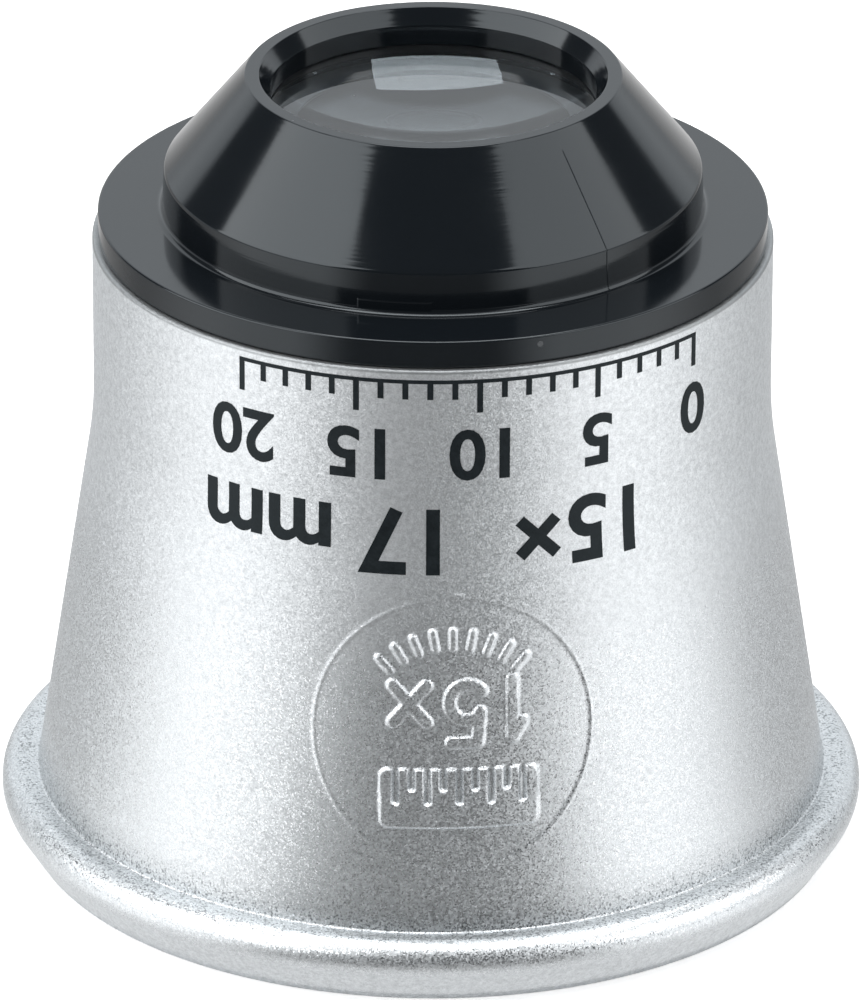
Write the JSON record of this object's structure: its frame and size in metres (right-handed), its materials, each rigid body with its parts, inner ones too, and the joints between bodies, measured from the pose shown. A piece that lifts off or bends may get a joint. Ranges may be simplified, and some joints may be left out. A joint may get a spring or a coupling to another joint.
{
  "type": "watchmaker eye loupe",
  "caption": "Flared eye cup with a rolled eye rim and a screw-in lens head, held in the eye socket to magnify small work.",
  "frame": {"origin": "centre of the eye rim's resting face, at the bottom of the loupe", "axes": "+Z along the optical axis from the eye to the watch; -Y towards the side that carries the round medallion"},
  "size_m": [0.036, 0.036, 0.0337],
  "materials": {
    "silver_lacquer": "black moulded plastic under a satin silver lacquer with a fine metallic grain outside; bare black inside",
    "black_gloss_plastic": "glossy black moulded plastic with faint turning lines",
    "black_ring": "black anodised, matt",
    "lens_glass": "polished clear optical glass"
  },
  "bodies": {
    "cup": {"eye_cup": "silver_lacquer"},
    "optics": {"front_lens": "lens_glass", "aperture_stop": "black_ring", "spacer_ring": "black_ring", "rear_lens": "lens_glass"},
    "head": {"lens_barrel": "black_gloss_plastic", "retaining_ring": "black_ring"}
  },
  "joints": [
    {"name": "head_rise", "type": "slide", "parent": "cup", "child": "optics", "axis": [0, 0, 1], "range_m": [0, 0.003]},
    {"name": "head_turn", "type": "hinge", "parent": "optics", "child": "head", "pos_m": [0, 0, 0.02669], "axis": [0, 0, 1], "range_deg": [0, 1080]}
  ],
  "couplings": [
    {"joint": "head_rise", "follows": "head_turn", "m_per_rad": 0.00015915}
  ]
}
